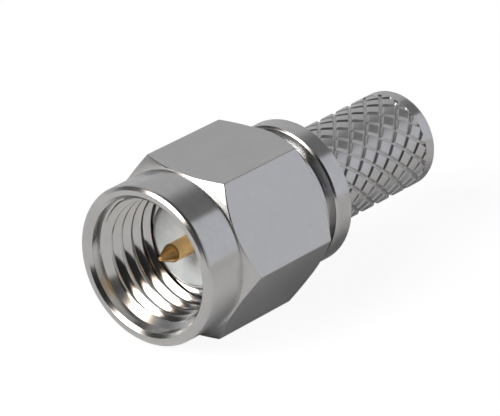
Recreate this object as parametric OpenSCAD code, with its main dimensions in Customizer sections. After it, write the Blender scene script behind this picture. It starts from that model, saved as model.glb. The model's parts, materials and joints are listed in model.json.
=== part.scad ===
// Straight SMA plug for a crimped coaxial cable, with a captive hexagon coupling nut.
// The connector's axis is X and the mouth faces +X. The origin is on the axis at the
// reference plane, where the plug's nose meets the jack. All sizes are in millimetres.

/* [Coupling nut] */
// Width across the flats of the hexagon
nut_af = 8; // [7.9:0.05:9]
// Overall length of the nut
nut_length = 8.8; // [8.4:0.1:10]
// How far the nut's front face stands in front of the reference plane
nut_overhang = 3.2; // [2.8:0.1:3.5]
// Diameter of the round collar in front of the hexagon
front_collar_d = 7.84; // [7.8:0.02:7.9]
// Length of the round collar in front of the hexagon
front_collar_length = 2.3; // [1.5:0.1:3]
// Diameter of the short round collar behind the hexagon
rear_collar_d = 7.8; // [7.4:0.02:7.9]
// Length of the short round collar behind the hexagon
rear_collar_length = 0.35; // [0.2:0.05:0.6]
// Slope of the turned chamfers on the hexagon's corners, from a square cut
hex_chamfer_angle = 38; // [25:1:45]
// How far inside the flats those chamfers start
hex_chamfer_inset = 0.015; // [0.01:0.005:0.05]
// Radius turned on the outer edge of the nut's front face
front_edge_radius = 0.25; // [0.1:0.01:0.28]
// Radius turned on the outer edge of the nut's rear face
rear_edge_radius = 0.12; // [0.05:0.01:0.2]
// Width of the chamfer at the rear end of the nut's bore
rear_bore_chamfer = 0.12; // [0.05:0.01:0.2]

/* [Mouth and thread] */
// Diameter of the plain entry in front of the thread
entry_d = 6.6; // [6.4:0.05:6.8]
// Depth of the plain entry, from the nut's front face
entry_depth = 0.75; // [0.4:0.05:0.9]
// Width of the lead-in chamfer at the mouth
entry_chamfer = 0.18; // [0.05:0.01:0.2]
// Diameter of the bore inside the thread's crests
thread_bore_d = 5.74; // [5.66:0.02:5.8]
// Clearance between the gasket and the relief turned behind the thread
relief_clearance = 0.25; // [0.2:0.01:0.35]

/* [Nose] */
// Wall of the nose that enters the jack, around the insulator
nose_wall = 0.23; // [0.19:0.01:0.28]
// Length of the nose, from the reference plane to the shoulder
nose_length = 2.6; // [2.4:0.05:3]
// Width of the chamfer around the nose's end face
nose_chamfer = 0.12; // [0.05:0.01:0.18]
// Height of the step at the nose's root that the gasket is stretched over
gasket_step = 0.2; // [0.05:0.01:0.25]

/* [Neck and snap ring] */
// Diameter of the neck that the nut turns on
neck_d = 6.16; // [6.1:0.02:6.3]
// Radial running clearance between the neck and the nut
neck_clearance = 0.05; // [0.02:0.01:0.1]
// Distance from the shoulder to the middle of the snap ring
ring_setback = 1.5; // [1.2:0.1:1.8]
// Thickness of the snap ring, along the axis
ring_thickness = 0.5; // [0.4:0.05:0.6]
// Height of the snap ring's section, from its inside to its outside
ring_height = 0.46; // [0.4:0.02:0.48]
// How far the sprung ring stands out of the neck, into the nut
ring_reach = 0.28; // [0.2:0.02:0.32]
// Width of the ring's split
ring_split = 1.2; // [0.8:0.1:2]
// Clearance of the ring in the neck's groove, on each side
ring_clearance = 0.05; // [0.02:0.01:0.08]
// Clearance of the ring in the nut's groove: the nut's end play, each way
ring_play = 0.15; // [0.1:0.01:0.2]

/* [Gasket] */
// Thickness of the gasket that lies on the shoulder
gasket_thickness = 0.6; // [0.4:0.05:0.8]
// Width of the gasket's section, from its inside to its outside
gasket_width = 0.51; // [0.41:0.01:0.56]

/* [Flange] */
// Diameter of the flange behind the nut
flange_d = 7.2; // [6.8:0.05:7.6]
// Thickness of the flange
flange_thickness = 1.15; // [0.8:0.05:1.5]
// Open gap between the nut and the flange
flange_gap = 0.95; // [0.6:0.05:1.4]
// Width of the chamfers on the flange's edges
flange_chamfer = 0.1; // [0.05:0.01:0.2]

/* [Crimp stem] */
// Outer diameter of the crimp stem
stem_d = 4.88; // [4.7:0.02:5.2]
// Length of the crimp stem, from the flange to the tail end
stem_length = 8; // [7:0.1:10]
// Length of the plain land behind the knurl
stem_land = 0.7; // [0.6:0.05:1]
// Radius that rounds the tail end
tail_radius = 0.3; // [0.1:0.05:0.35]
// Diameter of the bore that takes the cable's insulation
cable_bore_d = 3.94; // [3.6:0.02:4]
// Depth of that bore, from the tail end
cable_bore_depth = 8.1; // [7.9:0.1:8.5]
// Width of the chamfer at the bore's entry
cable_bore_chamfer = 0.12; // [0.05:0.01:0.15]

/* [Diamond knurl] */
// Number of helical grooves in each direction
knurl_starts = 15; // [10:1:20]
// Angle of the grooves to the axis
knurl_angle = 40.5; // [30:0.5:50]
// Depth of the grooves
knurl_depth = 0.11; // [0.06:0.01:0.16]
// Width of a groove at the pads' tops
groove_width = 0.22; // [0.12:0.01:0.24]
// Width of a groove at its floor
groove_floor = 0.05; // [0.04:0.01:0.1]
// Turn of the knurl about the axis
knurl_phase = 16.8; // [0:0.1:36]
// How far the middle of the first row of pads lies under the flange
knurl_shift = 0.3; // [0:0.01:0.35]

/* [Insulator] */
// Diameter of the insulator and of the bore that it fills
insulator_d = 4.12; // [4:0.01:4.2]
// Length of the insulator
insulator_length = 5; // [4.6:0.1:5.4]
// Diameter of the opening behind the insulator
throat_d = 3; // [2.6:0.1:3.4]

/* [Centre contact] */
// Diameter of the mating pin
pin_d = 0.92; // [0.9:0.01:0.94]
// How far the pin stands out of the reference plane
pin_length = 2.09; // [1.9:0.01:2.5]
// Length of the pin's conical tip
tip_length = 0.8; // [0.5:0.05:0.9]
// Diameter of the blunt end of the tip
tip_d = 0.2; // [0.1:0.02:0.3]
// Diameter of the contact inside the insulator
core_d = 1.27; // [1.2:0.01:1.35]
// Thickness of the insulator's front web, which the pin passes through in front of the core
front_web = 0.15; // [0.1:0.01:0.18]
// Distance from the reference plane to the end of the core, where the barrel starts
core_length = 3.6; // [3.2:0.1:4]
// How far the retaining barb stands out of the core
barb_height = 0.12; // [0.05:0.01:0.15]
// Length of the barb's ramp
barb_length = 0.4; // [0.3:0.05:0.6]
// Outer diameter of the solder barrel
barrel_d = 2; // [1.9:0.05:2.2]
// Diameter of the bore that takes the cable's inner conductor
conductor_bore_d = 1.5; // [1.2:0.05:1.6]
// Depth of that bore
conductor_bore_depth = 2.8; // [2:0.1:3]
// Gap between the barrel's end and the seat of the cable's insulation
barrel_setback = 0.2; // [0.1:0.05:0.4]
// Diameter of the solder hole in the top of the barrel
solder_hole_d = 0.8; // [0.6:0.05:0.9]

/* [Hidden] */

// Steps of a turned quarter round, and overlap of a cut past the face that it opens
round_steps = 6;
cut = 0.5;

// How far the thread relief runs in front of the gasket and behind the shoulder
relief_in_front = 0.25;
relief_behind = 0.15;

// Places along the axis, from the mouth to the tail
nut_front = nut_overhang;
nut_rear = nut_front - nut_length;
hex_front = nut_front - front_collar_length;
hex_rear = nut_rear + rear_collar_length;
shoulder = -nose_length;
gasket_front = shoulder + gasket_thickness;
thread_end = gasket_front + relief_in_front;
relief_rear = shoulder - relief_behind;
ring_middle = shoulder - ring_setback;
flange_front = nut_rear - flange_gap;
flange_rear = flange_front - flange_thickness;
tail = flange_rear - stem_length;
knurl_rear = tail + stem_land;
cable_seat = tail + cable_bore_depth;
barrel_rear = cable_seat + barrel_setback;
barb_rear = -0.6 * core_length;

// Radii that follow from the fits
hex_corner_r = nut_af / 2 / cos(30);
chamfer_r = nut_af / 2 - hex_chamfer_inset;
nose_r = insulator_d / 2 + nose_wall;
gasket_seat_r = nose_r + gasket_step;
gasket_r = gasket_seat_r + gasket_width;
relief_r = gasket_r + relief_clearance;
neck_r = neck_d / 2;
nut_bore_r = neck_r + neck_clearance;
ring_outer_r = neck_r + ring_reach;
ring_inner_r = ring_outer_r - ring_height;
ring_groove_r = neck_r - ring_height - ring_clearance / 2;
nut_groove_r = ring_outer_r + ring_clearance;
stem_r = stem_d / 2;
knurl_floor_r = stem_r - knurl_depth;

// Lattice of the knurl: one pad in each space between the crossing grooves
pad_turn = 360 / knurl_starts;
pad_width = PI * stem_d / knurl_starts;
pad_length = pad_width / tan(knurl_angle);
groove_pitch = pad_width * cos(knurl_angle);
knurl_front = flange_rear + knurl_shift;
knurl_rows = ceil((knurl_front - knurl_rear) / (pad_length / 2));

// Points of a circular arc in a turned profile: [radius, place along the axis]
function arc(centre, r, from, to) =
    [for (i = [0:round_steps]) let (a = from + (to - from) * i / round_steps)
        centre + r * [cos(a), sin(a)]];

// A turned piece: its profile's points are [radius, place along the axis]
module turned(profile) rotate([0, 90, 0]) rotate_extrude($fn = 96) polygon(profile);

// A round bore along the axis, from one place back to another
module bore(d, from, to) translate([to, 0, 0]) rotate([0, 90, 0])
    cylinder(d = d, h = from - to, $fn = 96);

// A hexagonal bar along the axis, with flats at the top and bottom
module hex_bar(from, to) translate([to, 0, 0]) rotate([0, 90, 0]) rotate([0, 0, 30])
    cylinder(r = hex_corner_r, h = from - to, $fn = 6);

// How far a corner chamfer of the hexagon runs along the axis out to a radius
function chamfer_run(r) = (r - chamfer_r) * tan(hex_chamfer_angle);

module coupling_nut_outside() {
    past_corner = hex_corner_r + 0.2;
    intersection() {
        hex_bar(hex_front, hex_rear);
        turned([
            [0, hex_front], [chamfer_r, hex_front],
            [past_corner, hex_front - chamfer_run(past_corner)],
            [past_corner, hex_rear + chamfer_run(past_corner)],
            [chamfer_r, hex_rear], [0, hex_rear]
        ]);
    }
    front_r = front_collar_d / 2 - front_edge_radius;
    rear_r = rear_collar_d / 2 - rear_edge_radius;
    turned(concat(
        [[0, nut_rear]],
        arc([rear_r, nut_rear + rear_edge_radius], rear_edge_radius, -90, 0),
        [[rear_collar_d / 2, hex_rear + cut], [front_collar_d / 2, hex_front - cut]],
        arc([front_r, nut_front - front_edge_radius], front_edge_radius, 0, 90),
        [[0, nut_front]]
    ));
}

// The nut's inside: entry, thread bore, relief, running bore and snap ring groove.
// The thread itself is fine and is not cut here.
module coupling_nut_inside() {
    entry_r = entry_d / 2;
    bore_r = thread_bore_d / 2;
    entry_floor = nut_front - entry_depth;
    groove_half = ring_thickness / 2 + ring_play;
    mouth_r = entry_r + entry_chamfer;
    rear_mouth_r = nut_bore_r + rear_bore_chamfer;
    turned([
        [0, nut_front + cut],
        [mouth_r, nut_front + cut], [mouth_r, nut_front],
        [entry_r, nut_front - entry_chamfer], [entry_r, entry_floor],
        [bore_r, entry_floor - (entry_r - bore_r) / 2], [bore_r, thread_end],
        [relief_r, thread_end - (relief_r - bore_r) / 2], [relief_r, relief_rear],
        [nut_bore_r, relief_rear],
        [nut_bore_r, ring_middle + groove_half], [nut_groove_r, ring_middle + groove_half],
        [nut_groove_r, ring_middle - groove_half], [nut_bore_r, ring_middle - groove_half],
        [nut_bore_r, nut_rear + rear_bore_chamfer], [rear_mouth_r, nut_rear],
        [rear_mouth_r, nut_rear - cut],
        [0, nut_rear - cut]
    ]);
}

// Nickel plated nut: it spins on the neck and draws the plug onto the jack
module coupling_nut() color([0.68, 0.68, 0.69]) difference() {
    coupling_nut_outside();
    coupling_nut_inside();
}

// Split spring ring: it sits in the neck's groove and keeps the nut from coming off
module snap_ring() color([0.72, 0.6, 0.38]) difference() {
    front = ring_middle + ring_thickness / 2;
    rear = ring_middle - ring_thickness / 2;
    turned([[ring_inner_r, rear], [ring_outer_r, rear], [ring_outer_r, front],
        [ring_inner_r, front]]);
    translate([rear - cut, -ring_split / 2, 0])
        cube([ring_thickness + 2 * cut, ring_split, ring_outer_r + cut]);
}

// Silicone gasket: it lies on the shoulder, and the jack's end presses on it
module gasket() color([0.45, 0.1, 0.08])
    turned([[gasket_seat_r, shoulder], [gasket_r, shoulder],
        [gasket_r, gasket_front], [gasket_seat_r, gasket_front]]);

// The body's turned outside in front of the stem, down to the axis
module body_outside() {
    ring_half = ring_thickness / 2 + ring_clearance;
    flange_r = flange_d / 2;
    turned([
        [0, 0], [nose_r - nose_chamfer, 0], [nose_r, -nose_chamfer], [nose_r, gasket_front],
        [gasket_seat_r, gasket_front], [gasket_seat_r, shoulder], [neck_r, shoulder],
        [neck_r, ring_middle + ring_half], [ring_groove_r, ring_middle + ring_half],
        [ring_groove_r, ring_middle - ring_half], [neck_r, ring_middle - ring_half],
        [neck_r, flange_front], [flange_r - flange_chamfer, flange_front],
        [flange_r, flange_front - flange_chamfer], [flange_r, flange_rear + flange_chamfer],
        [flange_r - flange_chamfer, flange_rear], [0, flange_rear]
    ]);
}

// The stem under the knurl, and the plain land with the rounded tail end
module stem_core() {
    run_out = knurl_depth;
    turned(concat(
        [[0, tail]],
        arc([stem_r - tail_radius, tail + tail_radius], tail_radius, -90, 0),
        [[stem_r, knurl_rear], [knurl_floor_r, knurl_rear + run_out],
            [knurl_floor_r, flange_rear + cut], [0, flange_rear + cut]]
    ));
}

// Four corners of a knurl pad at a radius: its sides slope, so it is wider at the floor
function pad_corners(r) =
    let (slope = (groove_width - groove_floor) / knurl_depth,
         groove = groove_floor + slope * (r - knurl_floor_r),
         share = 1 - groove / groove_pitch)
    [for (corner = [[1, 0], [0, 1], [-1, 0], [0, -1]])
        let (a = corner.y * share * pad_turn / 2)
        [corner.x * share * pad_length / 2, r * sin(a), r * cos(a)]];

// One pad, sunk a little into the core and left taller than the stem until it is trimmed
module knurl_pad() {
    sunk = 0.05;
    tall = 0.06;
    polyhedron(
        points = concat(pad_corners(knurl_floor_r - sunk), pad_corners(stem_r + tall)),
        faces = concat(
            [[0, 1, 2], [0, 2, 3], [4, 6, 5], [4, 7, 6]],
            [for (i = [0:3]) let (j = (i + 1) % 4) each [[i, i + 4, j], [j, i + 4, j + 4]]]
        )
    );
}

// The diamond knurl: rows of pads, each row half a pad further back and half a pad round,
// trimmed to the stem's diameter and to the length between the flange and the land
module knurl() intersection() {
    for (row = [0:knurl_rows], i = [0:knurl_starts - 1])
        translate([knurl_front - row * pad_length / 2, 0, 0])
            rotate([(i + (row % 2) / 2) * pad_turn + knurl_phase, 0, 0]) knurl_pad();
    bore(stem_d, flange_rear, knurl_rear);
}

// The body's inside: insulator seat, throat and cable bore
module body_inside() {
    cable_r = cable_bore_d / 2;
    throat_r = throat_d / 2;
    turned([
        [0, cut], [insulator_d / 2, cut], [insulator_d / 2, -insulator_length],
        [throat_r, -insulator_length], [throat_r, cable_seat],
        [cable_r, cable_seat], [cable_r, tail + cable_bore_chamfer],
        [cable_r + cable_bore_chamfer, tail], [cable_r + cable_bore_chamfer, tail - cut],
        [0, tail - cut]
    ]);
}

// One turned piece: nose, neck, flange and knurled crimp stem
module connector_body() color([0.66, 0.66, 0.67]) difference() {
    union() {
        body_outside();
        stem_core();
        knurl();
    }
    body_inside();
}

// Where the contact passes through the insulator: the pin, then the core and its barb
function passage_profile() =
    let (core_r = core_d / 2)
    [[pin_d / 2, -front_web], [core_r, -front_web], [core_r, barb_rear + barb_length],
     [core_r + barb_height, barb_rear], [core_r, barb_rear], [core_r, -core_length]];

// White PTFE core, flush with the end of the nose, that holds the contact by its barb
module insulator() color([0.92, 0.94, 0.95]) turned(concat(
    [[insulator_d / 2, -insulator_length], [insulator_d / 2, 0], [pin_d / 2, 0]],
    passage_profile(),
    [[barrel_d / 2, -core_length], [barrel_d / 2, -insulator_length]]
));

// Gold plated contact: mating pin, core with barb, and a drilled solder barrel
module centre_contact() color([0.83, 0.62, 0.25]) difference() {
    barrel_r = barrel_d / 2;
    edge = 0.08;
    turned(concat(
        [[0, pin_length], [tip_d / 2, pin_length], [pin_d / 2, pin_length - tip_length]],
        passage_profile(),
        [[barrel_r, -core_length], [barrel_r, barrel_rear + edge],
            [barrel_r - edge, barrel_rear], [0, barrel_rear]]
    ));
    drill_floor = barrel_rear + conductor_bore_depth;
    drill_r = conductor_bore_d / 2;
    turned([[0, drill_floor + drill_r / 2], [drill_r, drill_floor],
        [drill_r, barrel_rear - cut], [0, barrel_rear - cut]]);
    translate([barrel_rear + conductor_bore_depth / 2, 0, 0])
        cylinder(d = solder_hole_d, h = barrel_d, $fn = 48);
}

coupling_nut();
snap_ring();
gasket();
connector_body();
insulator();
centre_contact();
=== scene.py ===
# %% [markdown]
# # A crimped coaxial plug
# The real thing is a small turned plug: a nickel plated hexagon nut that spins freely on a
# nickel plated body, with a gold pin held in a white core. This lesson dresses the plain
# engineering model. The model gives every piece its size and place, and the script makes
# finer meshes and finishes for them. All numbers below are in millimetres, and one factor
# turns them into metres when a point is made.

import json
import math

import bmesh
import bpy
from mathutils import Matrix, Vector


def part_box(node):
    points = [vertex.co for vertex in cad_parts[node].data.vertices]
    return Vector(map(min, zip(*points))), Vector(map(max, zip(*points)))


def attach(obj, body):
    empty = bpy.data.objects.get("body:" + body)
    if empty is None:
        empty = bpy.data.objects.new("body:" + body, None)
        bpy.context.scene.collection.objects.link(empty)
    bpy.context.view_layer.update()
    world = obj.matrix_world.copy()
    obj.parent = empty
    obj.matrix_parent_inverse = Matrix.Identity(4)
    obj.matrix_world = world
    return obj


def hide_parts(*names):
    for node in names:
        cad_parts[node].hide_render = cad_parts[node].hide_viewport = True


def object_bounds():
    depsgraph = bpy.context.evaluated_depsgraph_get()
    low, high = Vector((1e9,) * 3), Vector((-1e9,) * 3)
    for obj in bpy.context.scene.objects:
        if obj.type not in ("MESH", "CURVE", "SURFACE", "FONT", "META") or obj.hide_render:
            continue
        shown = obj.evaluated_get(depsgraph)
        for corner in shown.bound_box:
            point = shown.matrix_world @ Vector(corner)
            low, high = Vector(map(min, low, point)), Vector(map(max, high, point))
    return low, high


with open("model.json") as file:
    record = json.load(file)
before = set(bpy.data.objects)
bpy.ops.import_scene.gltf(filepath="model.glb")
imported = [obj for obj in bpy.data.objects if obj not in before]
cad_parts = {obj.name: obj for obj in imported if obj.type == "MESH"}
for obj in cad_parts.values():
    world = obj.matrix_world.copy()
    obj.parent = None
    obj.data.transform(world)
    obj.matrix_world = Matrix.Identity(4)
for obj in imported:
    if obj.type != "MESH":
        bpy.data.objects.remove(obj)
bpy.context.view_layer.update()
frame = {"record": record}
MM = 0.001


def cad_box_mm(node):
    """A piece's lowest and highest corner in millimetres."""
    low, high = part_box(node)
    return low / MM, high / MM


def mount_mm(name):
    """A mount's place along the axis, radius and length in millimetres."""
    found = [m for m in frame["record"]["mounts"] if m["name"] == name][0]
    dims = found["dims"]
    return found["pos_m"][0] / MM, dims["r_mm"], dims["length_mm"]


# %% [markdown]
# ## Sizes
# The plug's axis is X and its mouth faces +X. Places along the axis and outer sizes are read
# from the engineering model. What its boxes can't tell, such as a chamfer's slope or a bore
# deep inside, is a named number here.

# %% Sizes of the nut
nut_low, nut_high = cad_box_mm("coupling_nut")
NUT_FRONT, NUT_REAR = nut_high.x, nut_low.x
HALF_FLATS = nut_high.z
HEX_FRONT, HEX_REAR = NUT_FRONT - 2.3, NUT_REAR + 0.35
FRONT_COLLAR_R, REAR_COLLAR_R = 3.92, 3.9
CHAMFER_R = HALF_FLATS - 0.015
CHAMFER_SLOPE = math.tan(math.radians(38))
REAR_EDGE, REAR_CHAMFER = 0.12, 0.12
LIP = [(0.0, 0.22), (0.095, 0.055), (0.205, 0.0)]
ENTRY_R, ENTRY_DEPTH, ENTRY_CHAMFER = 3.3, 0.75, 0.18
CREST_R, ROOT_R = 2.87, 3.19
RELIEF_R = 3.25
THREAD_LEAD = 25.4 / 36
THREAD_FRONT = NUT_FRONT - ENTRY_DEPTH

# %% Sizes of the pieces inside the nut
gasket_low, gasket_high = cad_box_mm("gasket")
SHOULDER, GASKET_FRONT = gasket_low.x, gasket_high.x
GASKET_R, GASKET_SEAT_R = gasket_high.y, 2.49
THREAD_END = GASKET_FRONT + 0.25
RELIEF_REAR = SHOULDER - 0.15
NOSE_R, NOSE_CHAMFER = mount_mm("nose")[1], 0.12
core_low, core_high = cad_box_mm("insulator")
CORE_REAR, CORE_R = core_low.x, core_high.y
THROAT_R = 1.5
contact_low, contact_high = cad_box_mm("centre_contact")
PIN_TIP, BARREL_REAR = contact_high.x, contact_low.x
PIN_R = mount_mm("centre_pin")[1]
ring_low, ring_high = cad_box_mm("snap_ring")
RING_FRONT, RING_REAR, RING_R = ring_high.x, ring_low.x, ring_high.y
RING_HEIGHT, RING_SPLIT = 0.46, 1.2
RING_SLACK, RING_PLAY, RING_SQUEEZE = 0.05, 0.15, 0.28
NECK_R = 3.08
NUT_BORE_R = NECK_R + 0.05

# %% Sizes of the body
body_low, body_high = cad_box_mm("connector_body")
TAIL, FLANGE_R = body_low.x, body_high.y
FLANGE_FRONT = NUT_REAR - 0.95
FLANGE_REAR = FLANGE_FRONT - 1.15
FLANGE_CHAMFER = 0.1
STEM_R, STEM_LAND, TAIL_RADIUS = 2.44, 0.7, 0.3
KNURL_REAR = TAIL + STEM_LAND
CABLE_R, CABLE_CHAMFER = mount_mm("cable_bore")[1], 0.12
CABLE_SEAT = TAIL + 8.1
print(f"nut {NUT_REAR:.2f} to {NUT_FRONT:.2f}, tail {TAIL:.2f}")
print(f"flange {FLANGE_REAR:.2f} to {FLANGE_FRONT:.2f}")

# %% [markdown]
# ## Turning a profile
# Most of the plug is lathe work. A turned piece could be a stack of cylinders, but real edges
# are never quite sharp, and a small rounding is what catches the light. So each piece is a
# profile of corners, and `softened` rounds each corner by its own amount before the profile
# is spun around the axis. Two extra points beside each rounding keep the flats truly flat
# when the surface is shaded smooth.

# %% Rounding the corners of a profile
def softened(corners, closed=False, steps=4):
    """Corners are (x, radius) or (x, radius, edge): edge is how far the rounding reaches."""
    corners = [tuple(c) + (0.0,) * (3 - len(c)) for c in corners]
    count = len(corners)
    points = []
    for i, (x, r, edge) in enumerate(corners):
        here = Vector((x, r))
        if edge == 0 or (not closed and i in (0, count - 1)):
            points.append(here)
            continue
        before = Vector(corners[i - 1][:2]) - here
        after = Vector(corners[(i + 1) % count][:2]) - here
        reach = min(edge, 0.45 * before.length, 0.45 * after.length)
        guard = min(0.3 * reach, 0.04 * min(before.length, after.length))
        before.normalize()
        after.normalize()
        start, end = here + before * reach, here + after * reach
        points.append(start + before * guard)
        for k in range(steps + 1):
            t = k / steps
            points.append(start * (1 - t) ** 2 + here * 2 * t * (1 - t) + end * t * t)
        points.append(end + after * guard)
    return points


# %% Spinning rings of points and joining them
COLUMNS = 144


def even_angles(count=COLUMNS):
    """Angles all the way around the axis, in equal steps."""
    return [2 * math.pi * i / count for i in range(count)]


def add_ring(bm, places, angles):
    """One ring of vertices: places holds an (x, radius) for each angle."""
    return [
        bm.verts.new((x * MM, r * math.cos(a) * MM, r * math.sin(a) * MM))
        for (x, r), a in zip(places, angles)
    ]


def join_rings(bm, one, two, closed=True):
    """Lays quads between two rings. A ring that isn't closed is a row with two ends."""
    count = len(one)
    for i in range(count if closed else count - 1):
        j = (i + 1) % count
        bm.faces.new((one[i], one[j], two[j], two[i]))


def spin(bm, points, angles, closed=False):
    """Spins (x, radius) points into a skin and returns its first and last ring."""
    rings = [add_ring(bm, [p] * len(angles), angles) for p in points]
    followers = rings[1:] + rings[:1] if closed else rings[1:]
    for one, two in zip(rings, followers):
        join_rings(bm, one, two)
    return rings[0], rings[-1]


# %% Joining two rings that have different numbers of points
def angle_of(vertex):
    """A vertex's angle around the axis, from 0 to a full turn."""
    return math.atan2(vertex.co.z, vertex.co.y) % (2 * math.pi)


def zip_rings(bm, one, two):
    """Fills the flat band between two coaxial rings with triangles, walking both by angle."""
    one = sorted(one, key=angle_of)
    two = sorted(two, key=angle_of)
    i = j = 0
    while i < len(one) or j < len(two):
        a, b = one[i % len(one)], two[j % len(two)]
        next_one = angle_of(one[(i + 1) % len(one)]) + 2 * math.pi * (i + 1 >= len(one))
        next_two = angle_of(two[(j + 1) % len(two)]) + 2 * math.pi * (j + 1 >= len(two))
        if j >= len(two) or (i < len(one) and next_one <= next_two):
            bm.faces.new((a, one[(i + 1) % len(one)], b))
            i += 1
        else:
            bm.faces.new((a, two[(j + 1) % len(two)], b))
            j += 1


# %% Finishing a piece
SHARP = math.radians(50)
WELD = 1e-7


def finish_mesh(bm, name, materials):
    """Welds, turns the faces outward, shades smooth and gives the mesh an object."""
    bmesh.ops.remove_doubles(bm, verts=bm.verts, dist=WELD)
    bmesh.ops.dissolve_degenerate(bm, edges=bm.edges, dist=WELD)
    bmesh.ops.recalc_face_normals(bm, faces=bm.faces)
    mesh = bpy.data.meshes.new(name)
    bm.to_mesh(mesh)
    bm.free()
    for material in materials:
        mesh.materials.append(material)
    mesh.shade_smooth()
    mesh.set_sharp_from_angle(angle=SHARP)
    piece = bpy.data.objects.new(name, mesh)
    bpy.context.scene.collection.objects.link(piece)
    return piece


def hand_over(piece, body, node):
    """The piece rides on its body and stands for its engineering solid."""
    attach(piece, body)
    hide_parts(node)
    triangles = sum(len(p.vertices) - 2 for p in piece.data.polygons)
    open_edges = open_edge_count(piece.data)
    print(f"{piece.name}: {triangles} triangles, {open_edges} open edges")


def open_edge_count(mesh):
    """How many edges don't have exactly two faces. A closed skin has none."""
    bm = bmesh.new()
    bm.from_mesh(mesh)
    count = sum(1 for e in bm.edges if len(e.link_faces) != 2)
    bm.free()
    return count


# %% [markdown]
# ## Building node trees
# Materials and Geometry Nodes are both graphs. Two helpers keep the graphs readable: one adds
# a node and wires or sets its inputs, the other does arithmetic. Every pattern reads Object
# coordinates, so it stays on the piece when the piece turns.

# %% Helpers for node trees
def add(tree, kind, inputs=None, **settings):
    """Adds a node. inputs maps a socket's name or number to a value or another socket."""
    node = tree.nodes.new(kind)
    for key, value in settings.items():
        setattr(node, key, value)
    for key, value in (inputs or {}).items():
        wire(tree, node.inputs[key], value)
    return node


def wire(tree, socket, value):
    """Links a socket to an input, or sets the input to a plain value."""
    if isinstance(value, bpy.types.NodeSocket):
        tree.links.new(value, socket)
    else:
        socket.default_value = value


def maths(tree, operation, *values):
    """One step of arithmetic on sockets and numbers: returns the result's socket."""
    node = add(tree, "ShaderNodeMath", operation=operation)
    for i, value in enumerate(values):
        wire(tree, node.inputs[i], value)
    return node.outputs[0]


# %% [markdown]
# ## Nickel plate
# Nickel is a warm grey metal. The plating follows the cutter's marks below it: turned faces
# carry fine rings, so they stretch a highlight into a streak across the rings, and milled
# flats have a fine satin grain. One function makes the turned finish: its marks depend only
# on the place along the axis and on the distance from it. A second one makes the satin,
# which also serves the coarser chamfers and the rolled stem, and a third one the bright,
# burnished thread.

# %% Coordinates and patterns shared by the finishes
def piece_coordinates(tree):
    """Object coordinates in millimetres."""
    position = add(tree, "ShaderNodeTexCoord").outputs["Object"]
    scaled = add(tree, "ShaderNodeVectorMath", {0: position, 3: 1 / MM}, operation="SCALE")
    return scaled.outputs[0]


def turned_coordinates(tree, vector):
    """(place along the axis, distance from it), the same all the way around a piece."""
    parts = add(tree, "ShaderNodeSeparateXYZ", {0: vector})
    y, z = parts.outputs[1], parts.outputs[2]
    squares = maths(tree, "ADD", maths(tree, "MULTIPLY", y, y), maths(tree, "MULTIPLY", z, z))
    pair = {0: parts.outputs[0], 1: maths(tree, "SQRT", squares)}
    return add(tree, "ShaderNodeCombineXYZ", pair).outputs[0]


def noise(tree, vector, scale, detail=3.0, roughness=0.6):
    """Cloudy noise between 0 and 1: most of it lies between 0.3 and 0.7."""
    node = add(tree, "ShaderNodeTexNoise", {"Vector": vector, "Scale": scale,
                                            "Detail": detail, "Roughness": roughness})
    return node.outputs["Fac"]


def spread(tree, value, low, high, new_low, new_high):
    """Stretches the range from low to high onto a new range."""
    node = add(tree, "ShaderNodeMapRange", {0: value, 1: low, 2: high, 3: new_low, 4: new_high})
    return node.outputs[0]


# %% Shaders, and what a pattern can do to them
def metal(name, colour, roughness, anisotropy=0.0):
    """A metal shader on a new material: returns the material, its tree and the shader."""
    material = bpy.data.materials.new(name)
    material.use_nodes = True
    tree = material.node_tree
    shader = tree.nodes["Principled BSDF"]
    shader.inputs["Metallic"].default_value = 1.0
    shader.inputs["Base Color"].default_value = (*colour, 1)
    shader.inputs["Roughness"].default_value = roughness
    shader.inputs["Anisotropic"].default_value = anisotropy
    return material, tree, shader


def tint(tree, shader, factor, dark, light):
    """The base colour goes from dark to light as the factor goes from 0 to 1."""
    mix = add(tree, "ShaderNodeMix", {0: factor, 6: (*dark, 1), 7: (*light, 1)}, data_type="RGBA")
    wire(tree, shader.inputs["Base Color"], mix.outputs[2])


def roughen(tree, shader, pattern, low, high):
    """The roughness follows a noise pattern between two values."""
    wire(tree, shader.inputs["Roughness"], spread(tree, pattern, 0.3, 0.7, low, high))


def bump(tree, shader, height, distance):
    """Marks in the surface, distance millimetres deep."""
    node = add(tree, "ShaderNodeBump", {"Height": height, "Distance": distance * MM})
    wire(tree, shader.inputs["Normal"], node.outputs[0])


# %% Turned nickel
NICKEL_DARK = (0.6, 0.598, 0.595)
NICKEL_LIGHT = (0.675, 0.672, 0.668)
ACROSS = 0.25


def turned_nickel(name, roughness=0.2, anisotropy=0.6, marks=0.0004):
    """Fine rings around the axis, and a highlight drawn out across them."""
    material, tree, shader = metal(name, NICKEL_LIGHT, roughness, anisotropy)
    vector = piece_coordinates(tree)
    fine = noise(tree, turned_coordinates(tree, vector), 38.0, 4.0, 0.7)
    cloud = spread(tree, noise(tree, vector, 1.1, 3.0), 0.35, 0.65, 0.35, 1.0)
    tint(tree, shader, cloud, NICKEL_DARK, NICKEL_LIGHT)
    roughen(tree, shader, fine, roughness - 0.05, roughness + 0.06)
    around = add(tree, "ShaderNodeTangent", direction_type="RADIAL", axis="X")
    wire(tree, shader.inputs["Tangent"], around.outputs[0])
    shader.inputs["Anisotropic Rotation"].default_value = ACROSS
    bump(tree, shader, fine, marks)
    return material


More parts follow.
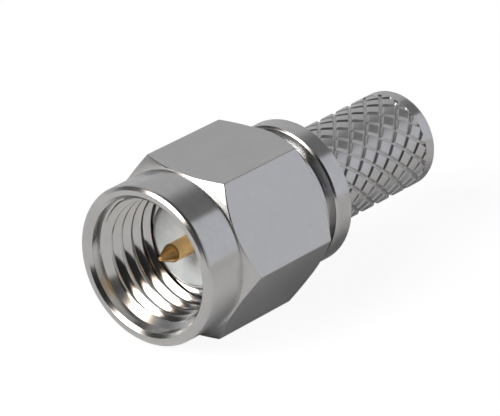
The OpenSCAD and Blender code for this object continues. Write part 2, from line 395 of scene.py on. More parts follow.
# %% Satin nickel
def satin_nickel(name, grain, roughness=0.3):
    """A fine speckle without a direction. grain is its depth in millimetres."""
    material, tree, shader = metal(name, NICKEL_LIGHT, roughness)
    vector = piece_coordinates(tree)
    speckle = noise(tree, vector, 22.0, 4.0, 0.65)
    cloud = spread(tree, noise(tree, vector, 0.8, 2.0), 0.3, 0.7, 0.55, 1.0)
    tint(tree, shader, cloud, NICKEL_DARK, NICKEL_LIGHT)
    roughen(tree, shader, speckle, roughness - 0.04, roughness + 0.05)
    bump(tree, shader, speckle, grain)
    return material


# %% Bright nickel, for the thread
def bright_nickel(name, roughness=0.1, marks=0.0006):
    """Smoother than the other two, with faint rings around the axis."""
    material, tree, shader = metal(name, NICKEL_LIGHT, roughness)
    vector = piece_coordinates(tree)
    fine = noise(tree, turned_coordinates(tree, vector), 30.0, 3.0, 0.6)
    cloud = spread(tree, noise(tree, vector, 1.6, 3.0), 0.3, 0.7, 0.4, 1.0)
    tint(tree, shader, cloud, NICKEL_DARK, NICKEL_LIGHT)
    roughen(tree, shader, fine, roughness - 0.03, roughness + 0.06)
    bump(tree, shader, fine, marks)
    return material


# %% The five nickel finishes
NICKEL_TURNED = turned_nickel("turned nickel")
NICKEL_CHAMFER = satin_nickel("coarse turned nickel", grain=0.006)
NICKEL_SATIN = satin_nickel("satin nickel", grain=0.0012)
NICKEL_BRIGHT = bright_nickel("bright thread nickel")
NICKEL_KNURL = satin_nickel("rolled nickel", grain=0.002)
nickels = [NICKEL_TURNED, NICKEL_CHAMFER, NICKEL_SATIN, NICKEL_BRIGHT, NICKEL_KNURL]
print("nickel finishes:", [m.name for m in nickels])

# %% [markdown]
# ## Gold, white core, gasket and spring bronze
# The contact is gold over nickel, so it is a little browner than jewellery. The core is PTFE:
# white and waxy, with the rings of the facing cut. A little light passes through the real
# stuff, and here a cloudy white stands for that. The gasket is red silicone, matt and soft.
# The snap ring is plain spring bronze, hidden inside the plug.

# %% Gold
GOLD_DARK, GOLD_LIGHT = (0.7, 0.43, 0.17), (0.82, 0.54, 0.23)


def gold(name):
    """Fine turned rings again, in a cloudy gold."""
    material, tree, shader = metal(name, GOLD_LIGHT, 0.25, 0.4)
    vector = piece_coordinates(tree)
    fine = noise(tree, turned_coordinates(tree, vector), 45.0, 3.0, 0.6)
    cloud = spread(tree, noise(tree, vector, 3.0), 0.3, 0.7, 0.0, 1.0)
    tint(tree, shader, cloud, GOLD_DARK, GOLD_LIGHT)
    roughen(tree, shader, fine, 0.18, 0.28)
    bump(tree, shader, fine, 0.0003)
    return material


# %% PTFE, silicone and bronze
def plain_shader(name, roughness, specular):
    """A shader that isn't metal, on a new material."""
    material = bpy.data.materials.new(name)
    material.use_nodes = True
    shader = material.node_tree.nodes["Principled BSDF"]
    shader.inputs["Roughness"].default_value = roughness
    shader.inputs["Specular IOR Level"].default_value = specular
    return material, material.node_tree, shader


def white_core(name):
    """Waxy white, cloudy, with the rings of the facing cut."""
    material, tree, shader = plain_shader(name, 0.42, 0.45)
    vector = piece_coordinates(tree)
    fine = noise(tree, turned_coordinates(tree, vector), 24.0, 2.0)
    cloud = spread(tree, noise(tree, vector, 1.4, 3.0), 0.3, 0.7, 0.0, 1.0)
    tint(tree, shader, cloud, (0.72, 0.78, 0.8), (0.86, 0.89, 0.9))
    bump(tree, shader, fine, 0.002)
    return material


def red_silicone(name):
    """Soft, dark red rubber with a faint grain."""
    material, tree, shader = plain_shader(name, 0.5, 0.4)
    vector = piece_coordinates(tree)
    tint(tree, shader, noise(tree, vector, 5.0, 4.0), (0.3, 0.02, 0.008), (0.5, 0.05, 0.015))
    bump(tree, shader, noise(tree, vector, 30.0, 3.0), 0.004)
    return material


def spring_bronze(name):
    """Plain brown metal, a little uneven."""
    material, tree, shader = metal(name, (0.6, 0.42, 0.2), 0.3)
    vector = piece_coordinates(tree)
    tint(tree, shader, noise(tree, vector, 4.0, 3.0), (0.42, 0.27, 0.12), (0.66, 0.47, 0.24))
    bump(tree, shader, noise(tree, vector, 40.0, 3.0), 0.001)
    return material


GOLD = gold("gold plate")
WHITE_CORE = white_core("white core")
RED_SILICONE = red_silicone("red silicone")
SPRING_BRONZE = spring_bronze("spring bronze")
print("finishes in all:", len(bpy.data.materials))

# %% [markdown]
# ## The thread
# The nut's inside has a right-hand thread of 36 turns to the inch. One could sweep a wedge
# along a helix and cut it out with a boolean, which leaves ragged ends. Here Geometry Nodes
# lay a grid along the helix instead. Its rows repeat the outline of one turn, and each column
# is turned a little further and moved on by its share of the lead, so turn joins turn without
# a seam. The rear flank is straight. The flank that faces the mouth is a little hollow: steep
# at the crest and flatter towards the root. The two ends are then drawn onto the turned cones
# that open the thread.

# %% The outline of one turn of thread
REAR_FOOT, CREST_REAR, CREST_FRONT = 0.05, 0.306, 0.406
HOLLOW = [(0.053, 0.1), (0.12, 0.2)]
FRONT_FOOT, FRONT_ROOT, FOOT_RISE = 0.205, 0.25, 0.02
turn_outline = softened([
    (0, ROOT_R),
    (REAR_FOOT, ROOT_R, 0.03),
    (CREST_REAR, CREST_R, 0.02),
    (CREST_FRONT, CREST_R, 0.012),
    *[(CREST_FRONT + ahead, CREST_R + deep, 0.04) for ahead, deep in HOLLOW],
    (CREST_FRONT + FRONT_FOOT, ROOT_R - FOOT_RISE, 0.04),
    (CREST_FRONT + FRONT_ROOT, ROOT_R, 0.02),
    (THREAD_LEAD, ROOT_R),
], steps=3)
print(f"one turn: {len(turn_outline)} points over {THREAD_LEAD:.4f} mm, {ROOT_R - CREST_R:.2f} mm deep")


# %% Helpers for Geometry Nodes
PATTERN_WELD = 2e-6


def new_geometry_tree(name, sizes):
    """A tree with a Geometry input and one named input for each size."""
    tree = bpy.data.node_groups.new(name, "GeometryNodeTree")
    face = tree.interface
    face.new_socket("Geometry", in_out="INPUT", socket_type="NodeSocketGeometry")
    for label, kind in sizes:
        face.new_socket(label, in_out="INPUT", socket_type="NodeSocket" + kind)
    face.new_socket("Geometry", in_out="OUTPUT", socket_type="NodeSocketGeometry")
    return tree, add(tree, "NodeGroupInput").outputs


def finish_tree(tree, geometry, material):
    """Makes the copies real, welds what touches and gives it a material."""
    real = add(tree, "GeometryNodeRealizeInstances", {0: geometry})
    welded = add(tree, "GeometryNodeMergeByDistance", {"Geometry": real.outputs[0],
                                                       "Distance": PATTERN_WELD})
    coated = add(tree, "GeometryNodeSetMaterial", {"Geometry": welded.outputs[0],
                                                   "Material": material})
    add(tree, "NodeGroupOutput", {0: coated.outputs[0]})


def grown(name, mesh, tree, values):
    """Runs a tree on a mesh and returns the result as a plain mesh."""
    carrier = bpy.data.objects.new(name, mesh)
    bpy.context.scene.collection.objects.link(carrier)
    modifier = carrier.modifiers.new(name, "NODES")
    modifier.node_group = tree
    for item in tree.interface.items_tree:
        if item.in_out == "INPUT" and item.name in values:
            modifier[item.identifier] = values[item.name]
    graph = bpy.context.evaluated_depsgraph_get()
    result = bpy.data.meshes.new_from_object(carrier.evaluated_get(graph))
    bpy.data.objects.remove(carrier)
    print(f"{name}: {len(result.vertices)} points, {len(result.polygons)} faces")
    return result


# %% The tree that lays the thread
END_CONE = 2.0


def counted(tree, index, per_row):
    """Splits a running index into (row, place in the row)."""
    halfway = maths(tree, "ADD", index, 0.5)
    row = maths(tree, "FLOOR", maths(tree, "DIVIDE", halfway, per_row))
    return row, maths(tree, "SUBTRACT", index, maths(tree, "MULTIPLY", row, per_row))


def end_cone(tree, radius, distance):
    """The turned cone at an end of the thread: its radius at a distance from that end."""
    return maths(tree, "SUBTRACT", radius, maths(tree, "MULTIPLY", distance, END_CONE))


def thread_tree():
    """Lays the grid, winds it along the helix and draws its two ends onto the cones."""
    sizes = [("Columns", "Int"), ("Turns", "Int"), ("Lead", "Float"), ("Start", "Float"),
             ("Phase", "Float"), ("Front", "Float"), ("Front radius", "Float"),
             ("Rear", "Float"), ("Rear radius", "Float"), ("Material", "Material")]
    tree, size = new_geometry_tree("thread turns", sizes)
    outline = size["Geometry"]
    points = add(tree, "GeometryNodeAttributeDomainSize", {0: outline}).outputs[0]
    steps = maths(tree, "MULTIPLY", size["Columns"], size["Turns"])
    grid = add(tree, "GeometryNodeMeshGrid", {"Vertices X": maths(tree, "ADD", steps, 1),
                                              "Vertices Y": points})
    index = add(tree, "GeometryNodeInputIndex").outputs[0]
    column, row = counted(tree, index, points)
    sample = add(tree, "GeometryNodeSampleIndex", {"Geometry": outline, "Index": row},
                 data_type="FLOAT_VECTOR", domain="POINT")
    wire(tree, sample.inputs["Value"], add(tree, "GeometryNodeInputPosition").outputs[0])
    place = add(tree, "ShaderNodeSeparateXYZ", {0: sample.outputs[0]})
    turned = maths(tree, "DIVIDE", column, size["Columns"])
    along = maths(tree, "ADD", maths(tree, "MULTIPLY", turned, size["Lead"]),
                   maths(tree, "ADD", place.outputs[0], size["Start"]))
    along = maths(tree, "MAXIMUM", maths(tree, "MINIMUM", along, size["Front"]), size["Rear"])
    front = end_cone(tree, size["Front radius"], maths(tree, "SUBTRACT", size["Front"], along))
    rear = end_cone(tree, size["Rear radius"], maths(tree, "SUBTRACT", along, size["Rear"]))
    radius = maths(tree, "MAXIMUM", place.outputs[1], maths(tree, "MAXIMUM", front, rear))
    angle = maths(tree, "ADD", maths(tree, "MULTIPLY", turned, 2 * math.pi), size["Phase"])
    spot = add(tree, "ShaderNodeCombineXYZ", {
        0: along,
        1: maths(tree, "MULTIPLY", radius, maths(tree, "COSINE", angle)),
        2: maths(tree, "MULTIPLY", radius, maths(tree, "SINE", angle))})
    moved = add(tree, "GeometryNodeSetPosition", {"Geometry": grid.outputs[0],
                                                  "Position": spot.outputs[0]})
    finish_tree(tree, moved.outputs[0], size["Material"])
    return tree


# %% Laying the thread
relief_front = THREAD_END - (RELIEF_R - CREST_R) / 2
thread_start = -2.8002  # brings the last crest to its place behind the mouth
thread_turns = math.ceil((THREAD_FRONT - thread_start) / THREAD_LEAD) + 1
outline_mesh = bpy.data.meshes.new("thread outline")
outline_mesh.from_pydata([(p.x * MM, p.y * MM, 0) for p in turn_outline], [], [])
thread_mesh = grown("thread", outline_mesh, thread_tree(), {
    "Columns": COLUMNS, "Turns": thread_turns, "Lead": THREAD_LEAD * MM,
    "Start": thread_start * MM, "Phase": 0.0,
    "Front": THREAD_FRONT * MM, "Front radius": ENTRY_R * MM,
    "Rear": relief_front * MM, "Rear radius": RELIEF_R * MM, "Material": NICKEL_BRIGHT})

# %% [markdown]
# ## The coupling nut
# The nut is a hexagon bar with its corners turned down to a cone at both ends and a round
# collar in front. Where the cone meets a flat, the edge is a curve that rises to the corner.
# A boolean would leave that edge razor sharp. Instead the skin is laid in columns around the
# axis: each column knows how far out the rounded hexagon is there, and so where the cone
# meets it. The rows then follow the curved edge exactly, with a small rounding. The collar's
# front lip is broken in two small facets. Outside and inside have different columns, so in
# each end face a narrow band of triangles joins them.

# %% The columns around the hexagon
HEX_EDGE = 0.05
FLAT_SPAN = 58
half_side = HALF_FLATS * math.tan(math.pi / 6)


def hexagon_columns(steps=22):
    """(angle, radius) around a hexagon with softened corners, flats at the top and bottom."""
    found = []
    for side in range(6):
        middle = math.radians(60 * side + 30)
        facing = Vector((math.cos(middle), math.sin(middle)))
        beside = Vector((-facing.y, facing.x))
        reach = half_side - HEX_EDGE
        guard = reach - 0.4 * HEX_EDGE
        turns = [-FLAT_SPAN / 2 + FLAT_SPAN * (k + 0.5) / steps for k in range(steps)]
        between = [math.tan(math.radians(turn)) * HALF_FLATS for turn in turns]
        flat = [-reach, -guard, *between, guard, reach]
        found += [facing * HALF_FLATS + beside * t for t in flat]
        corner = facing * HALF_FLATS + beside * half_side
        start = found[-1]
        after = math.radians(60 * side + 90)
        end = corner + Vector((-math.sin(after), math.cos(after))) * HEX_EDGE
        for t in (0.25, 0.5, 0.75):
            found.append(start * (1 - t) ** 2 + corner * 2 * t * (1 - t) + end * t * t)
    return sorted((math.atan2(p.y, p.x) % (2 * math.pi), p.length) for p in found)


hexagon = hexagon_columns()
print(f"hexagon: {len(hexagon)} columns, corner radius {max(r for a, r in hexagon):.3f} mm")


# %% The rows down the hexagon
CHAMFER_EDGE, EDGE_ROWS = 0.035, 5


def chamfer_rows(radius, end, inward):
    """Points across one turned edge at a column: from the cone's foot round onto the flat."""
    corner = Vector((end + inward * (radius - CHAMFER_R) * CHAMFER_SLOPE, radius))
    foot = Vector((end, CHAMFER_R))
    cone, flat = foot - corner, Vector((inward, 0))
    reach = min(CHAMFER_EDGE, 0.3 * cone.length)
    guard = 0.5 * reach
    cone.normalize()
    start, finish = corner + cone * reach, corner + flat * reach
    middle = (start + 2 * corner + finish) / 4
    return [start + cone * guard, start, middle, finish, finish + flat * guard]


def edge_rows(end, inward):
    """The rows across one turned edge, all the way around the hexagon."""
    return [list(row) for row in zip(*[chamfer_rows(r, end, inward) for a, r in hexagon])]


# %% The skins of the nut
FRONT_BAND, REAR_BAND = (3.56, 3.6), (3.42, 3.5)
TURNED, SATIN, BRIGHT, COARSE = range(4)


def nut_outside(bm):
    """Outer skin: front face, collar, hexagon, rear collar. Returns its two end rings."""
    angles = [a for a, r in hexagon]
    columns = len(angles)
    lip = [(NUT_FRONT - back, FRONT_COLLAR_R - down, 0.025) for back, down in LIP]
    front = softened([(NUT_FRONT, FRONT_BAND[1]), *lip,
                      (HEX_FRONT, FRONT_COLLAR_R, 0.02), (HEX_FRONT, CHAMFER_R)])
    rear = softened([(HEX_REAR, CHAMFER_R), (HEX_REAR, REAR_COLLAR_R, 0.02),
                     (NUT_REAR, REAR_COLLAR_R, REAR_EDGE), (NUT_REAR, REAR_BAND[1])])
    rows = [[p] * columns for p in front]
    rows += edge_rows(HEX_FRONT, -1)
    rows += edge_rows(HEX_REAR, 1)[::-1]
    rows += [[p] * columns for p in rear]
    rings = [add_ring(bm, row, angles) for row in rows]
    before_front_cone = len(front) - 1
    looks = {before_front_cone: COARSE, before_front_cone + EDGE_ROWS: SATIN,
             before_front_cone + 2 * EDGE_ROWS: COARSE}
    for i, (one, two) in enumerate(zip(rings, rings[1:])):
        before = len(bm.faces)
        join_rings(bm, one, two)
        bm.faces.ensure_lookup_table()
        for face in bm.faces[before:]:
            face.material_index = looks.get(i, TURNED)
    return rings[0], rings[-1]


def nut_inside_front(bm):
    """From the front face down the entry chamfer to where the thread starts."""
    points = softened([(NUT_FRONT, FRONT_BAND[0]), (NUT_FRONT, ENTRY_R + ENTRY_CHAMFER, 0.02),
                       (NUT_FRONT - ENTRY_CHAMFER, ENTRY_R, 0.02), (THREAD_FRONT, ENTRY_R)])
    return spin(bm, points, even_angles())


def nut_inside_rear(bm):
    """From the thread's end through the relief, the bore and the ring groove to the rear face."""
    groove_front, groove_rear = RING_FRONT + RING_PLAY, RING_REAR - RING_PLAY
    groove_r = RING_R + RING_SLACK
    points = softened([
        (relief_front, RELIEF_R), (RELIEF_REAR, RELIEF_R), (RELIEF_REAR, NUT_BORE_R, 0.02),
        (groove_front, NUT_BORE_R, 0.02), (groove_front, groove_r), (groove_rear, groove_r),
        (groove_rear, NUT_BORE_R, 0.02), (NUT_REAR + REAR_CHAMFER, NUT_BORE_R, 0.02),
        (NUT_REAR, NUT_BORE_R + REAR_CHAMFER, 0.02), (NUT_REAR, REAR_BAND[0])])
    return spin(bm, points, even_angles())


# %% The nut in one closed skin
def coupling_nut():
    """Thread, outer skin and inner skins, zipped together in the two end faces."""
    bm = bmesh.new()
    bm.from_mesh(thread_mesh)
    for face in bm.faces:
        face.material_index = BRIGHT
    outer_front, outer_rear = nut_outside(bm)
    inner_front = nut_inside_front(bm)[0]
    inner_rear = nut_inside_rear(bm)[1]
    zip_rings(bm, outer_front, inner_front)
    zip_rings(bm, outer_rear, inner_rear)
    return finish_mesh(bm, "nut", [NICKEL_TURNED, NICKEL_SATIN, NICKEL_BRIGHT, NICKEL_CHAMFER])


nut = coupling_nut()
hand_over(nut, "nut", "coupling_nut")

# %% [markdown]
# ## The knurled stem
# The stem behind the flange is rolled with two sets of slanting grooves, so that a crimped
# ferrule can't slip off. Where they cross they leave rows of flat rhombic pads. Displacing a
# cylinder would blur them. Here one pad is modelled with half of the groove around it, and
# Geometry Nodes set a copy at every place of the lattice. The copies meet in the middle of
# the grooves and are welded there into one skin.

# %% One pad and its half grooves
KNURL_STARTS, KNURL_ANGLE = 15, math.radians(40.5)
KNURL_DEPTH, GROOVE_WIDTH, GROOVE_FLOOR = 0.11, 0.22, 0.05
KNURL_SHIFT, KNURL_PHASE = 0.3, math.radians(16.8)
pad_width = 2 * math.pi * STEM_R / KNURL_STARTS
pad_length = pad_width / math.tan(KNURL_ANGLE)
groove_pitch = pad_width * math.cos(KNURL_ANGLE)


def groove_profile():
    """(distance from the groove's middle, height) up to the middle of a pad."""
    bank = softened([(0, -KNURL_DEPTH), (GROOVE_FLOOR / 2, -KNURL_DEPTH, 0.02),
                     (GROOVE_WIDTH / 2, 0, 0.03), (groove_pitch / 2, 0)], steps=2)
    return [(p.x, p.y) for p in bank]


def pad_mesh():
    """One pad: its rows and columns run along the two sets of grooves."""
    bank = groove_profile()
    across = [(d / groove_pitch - 0.5, h) for d, h in bank]
    across += [(-u, h) for u, h in across[-2::-1]]
    bm = bmesh.new()
    rows = []
    for u, height_u in across:
        row = []
        for v, height_v in across:
            x, turn = (u + v) * pad_length / 2, (u - v) * pad_width / 2 / STEM_R
            r = STEM_R + min(height_u, height_v)
            row.append(bm.verts.new((x * MM, r * math.sin(turn) * MM, r * math.cos(turn) * MM)))
        rows.append(row)
    for one, two in zip(rows, rows[1:]):
        join_rings(bm, one, two, closed=False)
    mesh = bpy.data.meshes.new("pad")
    bm.to_mesh(mesh)
    bm.free()
    return mesh


# %% The tree that sets the pads around the stem
def knurl_tree():
    """Sets the pads in rows around the stem, every second row half a place further on."""
    sizes = [("Starts", "Int"), ("Rows", "Int"), ("First row", "Float"), ("Row step", "Float"),
             ("Phase", "Float"), ("Material", "Material")]
    tree, size = new_geometry_tree("knurl pads", sizes)
    count = maths(tree, "MULTIPLY", size["Starts"], size["Rows"])
    index = add(tree, "GeometryNodeInputIndex").outputs[0]
    row, around = counted(tree, index, size["Starts"])
    half = maths(tree, "MULTIPLY", maths(tree, "MODULO", row, 2.0), 0.5)
    turn = maths(tree, "DIVIDE", maths(tree, "ADD", around, half), size["Starts"])
    angle = maths(tree, "ADD", maths(tree, "MULTIPLY", turn, 2 * math.pi), size["Phase"])
    passed = maths(tree, "MULTIPLY", row, size["Row step"])
    along = maths(tree, "SUBTRACT", size["First row"], passed)
    points = add(tree, "GeometryNodePoints", {
        "Count": count, "Position": add(tree, "ShaderNodeCombineXYZ", {0: along}).outputs[0]})
    copies = add(tree, "GeometryNodeInstanceOnPoints", {
        "Points": points.outputs[0], "Instance": size["Geometry"],
        "Rotation": add(tree, "ShaderNodeCombineXYZ", {0: angle}).outputs[0]})
    finish_tree(tree, copies.outputs[0], size["Material"])
    return tree


knurl_rows = math.ceil((FLANGE_REAR + KNURL_SHIFT - KNURL_REAR) / (pad_length / 2)) + 2
knurl_mesh = grown("knurl", pad_mesh(), knurl_tree(), {
    "Starts": KNURL_STARTS, "Rows": knurl_rows,
    "First row": (FLANGE_REAR + KNURL_SHIFT + pad_length / 2) * MM,
    "Row step": pad_length / 2 * MM,
    "Phase": KNURL_PHASE - math.pi / KNURL_STARTS, "Material": NICKEL_KNURL})

# %% [markdown]
# ## The connector body
# The body is one turned piece: nose, neck, flange and stem. The knurled sleeve is cut square
# at both ends. Its rear rim is then carried on point by point along the profile: up to the
# plain land, round the tail and down the cable bore. The rest is spun as usual and zipped on.

# %% Cutting the sleeve and carrying its rim on
ON_PLANE = 1e-8


def cut_square(bm, place, keep_front):
    """Cuts the skin at a place along the axis and returns the rim's vertices."""
    facing = Vector((-1, 0, 0)) if keep_front else Vector((1, 0, 0))
    geometry = bm.verts[:] + bm.edges[:] + bm.faces[:]
    bmesh.ops.bisect_plane(bm, geom=geometry, dist=WELD, plane_co=(place * MM, 0, 0),
                           plane_no=facing, clear_outer=True)
    ends = [v for e in bm.edges if e.is_boundary for v in e.verts]
    rim = {v for v in ends if abs(v.co.x - place * MM) < ON_PLANE}
    return sorted(rim, key=angle_of)


def carry_on(bm, rim, points):
    """Adds a ring at each (x, radius) with the rim's own angles, and joins them in turn."""
    angles = [angle_of(v) for v in rim]
    last = rim
    for p in points:
        ring = add_ring(bm, [p] * len(angles), angles)
        join_rings(bm, last, ring)
        last = ring
    return last


# %% The body in one closed skin
SLEEVE_BAND_R = 2.9


def body_front():
    """Profile from the flange's rear face out, forward to the nose and back inside."""
    groove_r = RING_R - RING_HEIGHT - RING_SLACK / 2 - RING_SQUEEZE
    groove_front, groove_rear = RING_FRONT + RING_SLACK, RING_REAR - RING_SLACK
    edge = 0.02
    return softened([
        (FLANGE_REAR, SLEEVE_BAND_R), (FLANGE_REAR, FLANGE_R - FLANGE_CHAMFER, edge),
        (FLANGE_REAR + FLANGE_CHAMFER, FLANGE_R, edge),
        (FLANGE_FRONT - FLANGE_CHAMFER, FLANGE_R, edge),
        (FLANGE_FRONT, FLANGE_R - FLANGE_CHAMFER, edge), (FLANGE_FRONT, NECK_R, edge),
        (groove_rear, NECK_R, edge), (groove_rear, groove_r), (groove_front, groove_r),
        (groove_front, NECK_R, edge), (SHOULDER, NECK_R, edge), (SHOULDER, GASKET_SEAT_R),
        (GASKET_FRONT, GASKET_SEAT_R, edge), (GASKET_FRONT, NOSE_R), (-NOSE_CHAMFER, NOSE_R, edge),
        (0, NOSE_R - NOSE_CHAMFER, edge), (0, CORE_R, 0.025), (CORE_REAR, CORE_R),
        (CORE_REAR, THROAT_R, edge), (CABLE_SEAT, THROAT_R, edge), (CABLE_SEAT, THROAT_R + 0.1)])


def connector_body():
    """The knurled sleeve, the tail carried on from its rim, and the spun front."""
    bm = bmesh.new()
    bm.from_mesh(knurl_mesh)
    for face in bm.faces:
        face.material_index = 1
    front_rim = cut_square(bm, FLANGE_REAR, keep_front=False)
    rear_rim = cut_square(bm, KNURL_REAR, keep_front=True)
    tail_points = softened([
        (KNURL_REAR, STEM_R), (TAIL, STEM_R, TAIL_RADIUS), (TAIL, CABLE_R + CABLE_CHAMFER, 0.02),
        (TAIL + CABLE_CHAMFER, CABLE_R, 0.02), (CABLE_SEAT, CABLE_R)], steps=8)
    seat_rim = carry_on(bm, rear_rim, tail_points)
    flange_rim, throat_rim = spin(bm, body_front(), even_angles())
    zip_rings(bm, front_rim, flange_rim)
    zip_rings(bm, seat_rim, throat_rim)
    return finish_mesh(bm, "body", [NICKEL_TURNED, NICKEL_KNURL])


body = connector_body()
hand_over(body, "plug", "connector_body")

# %% [markdown]
# ## The small turned pieces
# The core, the gasket and the contact are plain profiles. The contact gets its solder hole by
# a boolean, because a round hole across a tube has no simple rows. The snap ring is spun
# through less than a full turn, which leaves its split.

# %% White core
BARB_REAR, CORE_LENGTH = -2.16, 3.6
CONTACT_R, BARB, BARB_LENGTH, FRONT_WEB = 0.635, 0.12, 0.4, 0.15
BARREL_R, EASE = 1.0, 0.004


def contact_passage(ease):
    """Where the contact passes through the core: the pin's end, then the core with its barb."""
    r = CONTACT_R + ease
    return [(-FRONT_WEB, PIN_R + ease), (-FRONT_WEB, r), (BARB_REAR + BARB_LENGTH, r),
            (BARB_REAR, r + BARB), (BARB_REAR, r), (-CORE_LENGTH, r)]


def insulator():
    """The core is a closed profile, so its passage is part of the same skin."""
    bm = bmesh.new()
    outer = CORE_R - EASE
    points = softened([(CORE_REAR, outer, 0.03), (0, outer, 0.045), (0, PIN_R + EASE, 0.02)]
                      + contact_passage(EASE)
                      + [(-CORE_LENGTH, BARREL_R + EASE), (CORE_REAR, BARREL_R + EASE)], closed=True)
    spin(bm, points, even_angles(), closed=True)
    return finish_mesh(bm, "core", [WHITE_CORE])


core = insulator()
hand_over(core, "plug", "insulator")


# %% Gasket
def gasket_ring():
    """A flat ring with well rounded edges on the shoulder of the body."""
    bm = bmesh.new()
    inner = GASKET_SEAT_R + EASE
    points = softened([(SHOULDER + EASE, inner, 0.06), (SHOULDER + EASE, GASKET_R, 0.1),
                       (GASKET_FRONT, GASKET_R, 0.1), (GASKET_FRONT, inner, 0.06)], closed=True)
    spin(bm, points, even_angles(), closed=True)
    return finish_mesh(bm, "gasket_ring", [RED_SILICONE])


gasket = gasket_ring()
hand_over(gasket, "plug", "gasket")

# %% Centre contact
PIN_TIP_R, TIP_LENGTH, BARREL_CHAMFER = 0.1, 0.8, 0.08
SMALL_COLUMNS = 96
DRILL_R, DRILL_DEPTH = mount_mm("conductor_bore")[1], mount_mm("conductor_bore")[2]
SOLDER_HOLE_R = 0.4


def pole(bm, ring, x):
    """Closes a ring with a fan to a point on the axis."""
    tip = bm.verts.new((x * MM, 0, 0))
    for a, b in zip(ring, ring[1:] + ring[:1]):
        bm.faces.new((a, b, tip))


def contact_profile():
    """From the middle of the tip back over pin and barrel, and down the drilled bore."""
    drill_floor = BARREL_REAR + DRILL_DEPTH
    return softened([
        (PIN_TIP, PIN_TIP_R * 0.4), (PIN_TIP, PIN_TIP_R, 0.03), (PIN_TIP - TIP_LENGTH, PIN_R, 0.06),
        *contact_passage(0), (-CORE_LENGTH, BARREL_R, 0.03),
        (BARREL_REAR + BARREL_CHAMFER, BARREL_R, 0.02),
        (BARREL_REAR, BARREL_R - BARREL_CHAMFER, 0.02),
        (BARREL_REAR, DRILL_R, 0.02), (drill_floor, DRILL_R),
        (drill_floor + DRILL_R / 2, 0.02)])


def centre_contact():
    """Spins the contact and drills the solder hole into the top of its barrel."""
    bm = bmesh.new()
    points = contact_profile()
    tip_ring, drill_ring = spin(bm, points, even_angles(SMALL_COLUMNS))
    pole(bm, tip_ring, PIN_TIP)
    pole(bm, drill_ring, points[-1].x)
    contact = finish_mesh(bm, "contact", [GOLD])
    drill = bmesh.new()
    place = Matrix.Translation((mount_mm("conductor_bore")[0] * MM, 0, BARREL_R * MM))
    bmesh.ops.create_cone(drill, cap_ends=True, segments=48, radius1=SOLDER_HOLE_R * MM,
                          radius2=SOLDER_HOLE_R * MM, depth=BARREL_R * 1.2 * MM, matrix=place)
    cutter = finish_mesh(drill, "solder hole cutter", [GOLD])
    hole = contact.modifiers.new("solder hole", "BOOLEAN")
    hole.object, hole.operation, hole.solver = cutter, "DIFFERENCE", "EXACT"
    graph = bpy.context.evaluated_depsgraph_get()
    contact.data = bpy.data.meshes.new_from_object(contact.evaluated_get(graph))
    contact.modifiers.clear()
    bpy.data.objects.remove(cutter)
    return contact


contact = centre_contact()
hand_over(contact, "plug", "centre_contact")


# %% Snap ring
def split_ring():
    """Spun from one side of the split to the other, with a flat end at each."""
    bm = bmesh.new()
    inner = RING_R - RING_HEIGHT
    gap = math.asin(RING_SPLIT / 2 / RING_R)
    start, end = math.pi / 2 + gap, math.pi / 2 - gap + 2 * math.pi
    angles = [start + (end - start) * i / SMALL_COLUMNS for i in range(SMALL_COLUMNS + 1)]
    corners = [(RING_REAR, inner), (RING_REAR, RING_R), (RING_FRONT, RING_R), (RING_FRONT, inner)]
    points = softened([(x, r, 0.05) for x, r in corners], closed=True)
    rings = [add_ring(bm, [p] * len(angles), angles) for p in points]
    for one, two in zip(rings, rings[1:] + rings[:1]):
        join_rings(bm, one, two, closed=False)
    for end_of in (0, -1):
        bm.faces.new([ring[end_of] for ring in rings])
    return finish_mesh(bm, "split_ring", [SPRING_BRONZE])


spring = split_ring()
hand_over(spring, "plug", "snap_ring")

# %% [markdown]
# ## Table, light and camera
# Shiny metal shows its surroundings, so the studio matters as much as the finish. Area lamps
# could light the plug, but each would show in the metal as a hard shape. Here the world holds
# soft round panels instead. The walls are grey and the ceiling is dark. A bright window with
# a warm rim stands in front, and cooler panels on the right and behind. Around the viewer all
# is black, which gives the metal its contrast. The eye itself sees only white all around.
# The pale table under the plug grows a little brighter towards the front: painted shade behind the plug
# and painted light in front of it, which the metal shows in its reflections.

# %% Table
TABLE_HALF = 2.0
# Painted shade: the table's colour runs from darker behind the plug to paler in front of it.
TABLE_X, TABLE_PAINTED_SHADE_TO_PALE = (-25.0, 8.0), (0.76, 0.93)
EYE_WHITE, GLOW = 0.8, 1.14
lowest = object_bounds()[0].z


def table_finish():
    """Matt and pale to the light, with painted shade towards the back, and mostly a plain glowing white
    to the eye.
    """
    material = bpy.data.materials.new("pale table")
    material.use_nodes = True
    tree = material.node_tree
    tree.nodes.clear()
    along = add(tree, "ShaderNodeSeparateXYZ", {0: piece_coordinates(tree)}).outputs[0]
    # painted shade: darker towards the back, paler towards the front
    pale = spread(tree, along, *TABLE_X, *TABLE_PAINTED_SHADE_TO_PALE)
    colour = add(tree, "ShaderNodeCombineColor", {0: pale, 1: pale, 2: pale}).outputs[0]
    matt = add(tree, "ShaderNodeBsdfDiffuse", {0: colour}).outputs[0]
    white = add(tree, "ShaderNodeEmission", {0: (1, 1, 1, 1), 1: GLOW}).outputs[0]
    path = add(tree, "ShaderNodeLightPath")
    eye = maths(tree, "MULTIPLY", path.outputs["Is Camera Ray"], EYE_WHITE)
    mix = add(tree, "ShaderNodeMixShader", {0: eye, 1: matt, 2: white})
    add(tree, "ShaderNodeOutputMaterial", {0: mix.outputs[0]})
    return material


table_mesh = bpy.data.meshes.new("table")
corners = [(-1, -1), (1, -1), (1, 1), (-1, 1)]
table_points = [(TABLE_HALF * x, TABLE_HALF * y, lowest) for x, y in corners]
table_mesh.from_pydata(table_points, [], [(0, 1, 2, 3)])
table_mesh.materials.append(table_finish())
table = bpy.data.objects.new("table", table_mesh)
bpy.context.scene.collection.objects.link(table)
print(f"table {-lowest / MM:.2f} mm under the axis")


# %% Studio walls
WALLS = (0.49, 0.49, 0.495, 1)
WINDOW = (0.78, -0.25, 0.57)
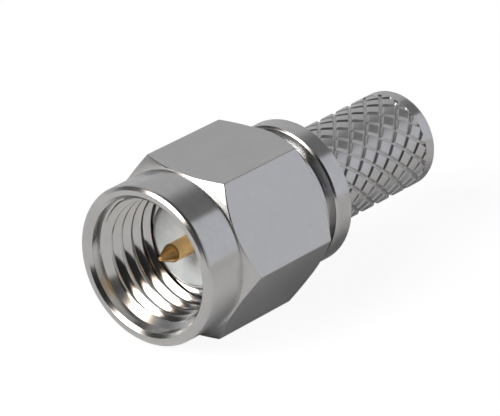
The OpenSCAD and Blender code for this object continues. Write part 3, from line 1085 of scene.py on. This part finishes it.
# Each panel is its direction, the cosines where it is full and where it ends, and its light.
PANELS = [
    ((-0.45, -0.88, 0.1), 0.99, 0.93, (0.6, 0.61, 0.65, 1)),  # cool, behind on the left
    ((0.0, 0.2, 1.0), 0.93, 0.72, (0.06, 0.06, 0.06, 1)),  # dark ceiling
    ((-0.7, 0.15, 0.69), 0.985, 0.86, (0.17, 0.17, 0.17, 1)),  # dim, high behind
    ((0.45, -0.72, 0.53), 0.96, 0.86, (0.05, 0.05, 0.05, 1)),  # dark, high on the left
    ((-0.66, 0.70, 0.27), 0.868, 0.85, (0.6, 0.61, 0.655, 1)),  # cool, on the right
    ((0.72, 0.445, 0.53), 0.81, 0.695, (0.02, 0.02, 0.022, 1)),  # black, around the viewer
    (WINDOW, 0.935, 0.905, (1.1, 0.75, 0.45, 1)),  # the window's warm rim
    (WINDOW, 0.954, 0.93, (6.5, 6.4, 6.25, 1)),  # the window
]


def lobe(tree, direction, aim, near, far):
    """1 around a direction, fading to 0: near and far are cosines."""
    facing = Vector(aim).normalized()
    dot = add(tree, "ShaderNodeVectorMath", {0: direction, 1: facing}, operation="DOT_PRODUCT")
    limits = {0: dot.outputs["Value"], 1: far, 2: near, 3: 0.0, 4: 1.0}
    fade = add(tree, "ShaderNodeMapRange", limits, interpolation_type="SMOOTHSTEP")
    return fade.outputs[0]


def studio():
    """Lays the panels over the walls one by one. A camera ray sees plain white instead."""
    world = bpy.data.worlds.new("studio")
    world.use_nodes = True
    bpy.context.scene.world = world
    tree = world.node_tree
    tree.nodes.clear()
    direction = add(tree, "ShaderNodeTexCoord").outputs["Generated"]
    colour = WALLS
    for aim, near, far, light in PANELS:
        share = lobe(tree, direction, aim, near, far)
        mix = add(tree, "ShaderNodeMix", {0: share, 6: colour, 7: light}, data_type="RGBA")
        colour = mix.outputs[2]
    room = add(tree, "ShaderNodeBackground", {0: colour, 1: 1.0})
    white = add(tree, "ShaderNodeBackground", {0: (1, 1, 1, 1), 1: 1.0})
    eye = add(tree, "ShaderNodeLightPath").outputs["Is Camera Ray"]
    mix = add(tree, "ShaderNodeMixShader", {0: eye, 1: room.outputs[0], 2: white.outputs[0]})
    add(tree, "ShaderNodeOutputWorld", {0: mix.outputs[0]})


studio()
print(f"studio: {len(PANELS)} panels over grey walls")

# %% Camera
AZIMUTH, ELEVATION, ROLL = math.radians(38.233), math.radians(26.23), math.radians(2.033)
DISTANCE, LENS, SENSOR_WIDTH = 196.478, 301.18, 36.0
CLIP_START, CLIP_END = 0.01, 10.0
AIM = Vector((-4.6, -0.12, 0.151))


def camera():
    """A long lens, a little above the plug and in front of it, rolled by a small angle."""
    data = bpy.data.cameras.new("camera")
    data.lens, data.sensor_width, data.sensor_fit = LENS, SENSOR_WIDTH, "HORIZONTAL"
    data.clip_start, data.clip_end = CLIP_START, CLIP_END
    eye = bpy.data.objects.new("camera", data)
    ground = math.cos(ELEVATION)
    back = Vector((ground * math.cos(AZIMUTH), ground * math.sin(AZIMUTH), math.sin(ELEVATION)))
    level = Vector((0, 0, 1)).cross(back).normalized()
    up = back.cross(level)
    right = level * math.cos(ROLL) + up * math.sin(ROLL)
    up = back.cross(right)
    turn = Matrix((right, up, back)).transposed()
    eye.matrix_world = Matrix.Translation((AIM + back * DISTANCE) * MM) @ turn.to_4x4()
    bpy.context.scene.collection.objects.link(eye)
    bpy.context.scene.camera = eye


camera()
bpy.context.scene.view_settings.view_transform = "Standard"
print(f"camera {DISTANCE:.0f} mm away, lens {LENS:.0f} mm")
